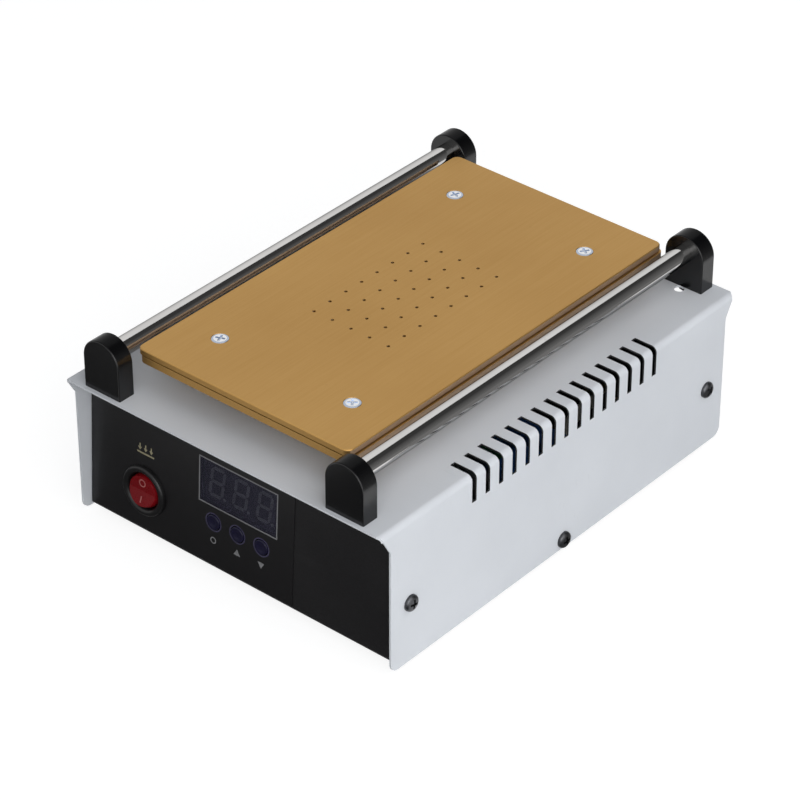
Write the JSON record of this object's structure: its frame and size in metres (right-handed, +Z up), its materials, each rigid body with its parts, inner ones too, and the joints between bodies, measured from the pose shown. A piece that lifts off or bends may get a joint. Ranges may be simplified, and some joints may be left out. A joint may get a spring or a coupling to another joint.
{
  "type": "lcd screen separator",
  "caption": "Bench heater with a gold suction plate between two chromed rods, on a folded sheet case with a display, three keys and a round rocker switch.",
  "frame": {"origin": "on the table under the middle of the case, between the four feet", "axes": "+X to the right seen from the front panel, +Y from the front panel to the rear panel, +Z up"},
  "size_m": [0.1654, 0.2168, 0.0929],
  "materials": {
    "powder_white": "fine powder coat, pale cool grey",
    "powder_black": "satin black powder coat",
    "anodised_gold": "matt gold anodised",
    "silicone_red": "silicone sheet",
    "zinc": "zinc plated",
    "bare_aluminium": "bare",
    "heater_orange": "silicone heater mat",
    "fibre_white": "insulating fibre board",
    "black_steel": "blackened steel",
    "post_black": "black, satin gloss",
    "chrome": "polished",
    "film_black": "printed polyester film",
    "smoked_window": "smoked, satin",
    "display_black": "moulded block",
    "key_blue": "dark blue",
    "switch_black": "moulded",
    "rocker_red": "moulded, translucent red",
    "brass": "nickelled or bare",
    "fuse_glass": "clear with end caps",
    "rubber_black": "matt",
    "hose_silicone": "milky silicone",
    "lead_sleeve": "sleeved leads",
    "motor_steel": "steel",
    "board_green": "glass-fibre circuit board",
    "relay_blue": "moulded blue",
    "capacitor_sleeve": "shrunk sleeve"
  },
  "bodies": {
    "case": {"cover": "powder_white", "base_chassis": "powder_black", "top_plate": "anodised_gold", "lower_plate": "anodised_gold", "plate_gasket": "silicone_red", "plate_screws": "zinc", "plate_nuts": "zinc", "plate_spacers": "bare_aluminium", "heater_pad": "heater_orange", "insulation_board": "fibre_white", "cover_screws": "black_steel", "post_front_left": "post_black", "post_front_right": "post_black", "post_rear_left": "post_black", "post_rear_right": "post_black", "post_screws": "zinc", "rod_left": "chrome", "rod_right": "chrome", "front_overlay": "film_black", "display_window": "smoked_window", "display_module": "display_black", "tact_switches": "switch_black", "pump_switch_body": "switch_black", "switch_terminals": "brass", "mains_switch_body": "switch_black", "mains_inlet": "switch_black", "inlet_pins": "brass", "feet": "rubber_black", "foot_screws": "zinc", "vacuum_nipple": "brass", "vacuum_hose": "hose_silicone", "grommets": "rubber_black", "temperature_probe": "bare_aluminium", "thermal_cutout": "switch_black", "heater_lead": "lead_sleeve", "mains_lead": "lead_sleeve", "signal_lead": "lead_sleeve", "pump_motor": "motor_steel", "pump_head": "switch_black", "pump_bracket": "zinc", "pump_feet": "rubber_black", "pump_screws": "zinc", "panel_screws": "zinc", "control_board": "board_green", "board_spacers": "zinc", "power_board": "board_green", "power_spacers": "zinc", "power_screws": "zinc", "transformer": "motor_steel", "relay": "relay_blue", "filter_capacitor": "capacitor_sleeve", "terminal_block": "relay_blue"},
    "pump_rocker": {"pump_switch_rocker": "rocker_red"},
    "mains_rocker": {"mains_switch_rocker": "rocker_red"},
    "set_key": {"button_set": "key_blue"},
    "up_key": {"button_up": "key_blue"},
    "down_key": {"button_down": "key_blue"},
    "fuse_tray": {"fuse_drawer": "switch_black", "fuse": "fuse_glass"},
    "pump_rotor": {"pump_shaft": "motor_steel"}
  },
  "joints": [
    {"name": "pump_rocker_hinge", "type": "hinge", "parent": "case", "child": "pump_rocker", "pos_m": [-0.0497, -0.09663, 0.0248], "axis": [1, 0, 0], "range_deg": [0, 14]},
    {"name": "mains_rocker_hinge", "type": "hinge", "parent": "case", "child": "mains_rocker", "pos_m": [0, 0.09588, 0.03187], "axis": [-1, 0, 0], "range_deg": [0, 14]},
    {"name": "set_key_slide", "type": "slide", "parent": "case", "child": "set_key", "axis": [0, 0.998, -0.0638], "range_m": [0, 0.0005], "stiffness_N_per_m": 1600, "springref_m": -0.0003},
    {"name": "up_key_slide", "type": "slide", "parent": "case", "child": "up_key", "axis": [0, 0.998, -0.0638], "range_m": [0, 0.0005], "stiffness_N_per_m": 1600, "springref_m": -0.0003},
    {"name": "down_key_slide", "type": "slide", "parent": "case", "child": "down_key", "axis": [0, 0.998, -0.0638], "range_m": [0, 0.0005], "stiffness_N_per_m": 1600, "springref_m": -0.0003},
    {"name": "fuse_tray_slide", "type": "slide", "parent": "case", "child": "fuse_tray", "axis": [0, 0.998, 0.0638], "range_m": [0, 0.022]},
    {"name": "pump_rotor_spin", "type": "hinge", "parent": "case", "child": "pump_rotor", "pos_m": [-0.031, 0.014, 0.0295], "axis": [0, 1, 0], "continuous": true}
  ]
}
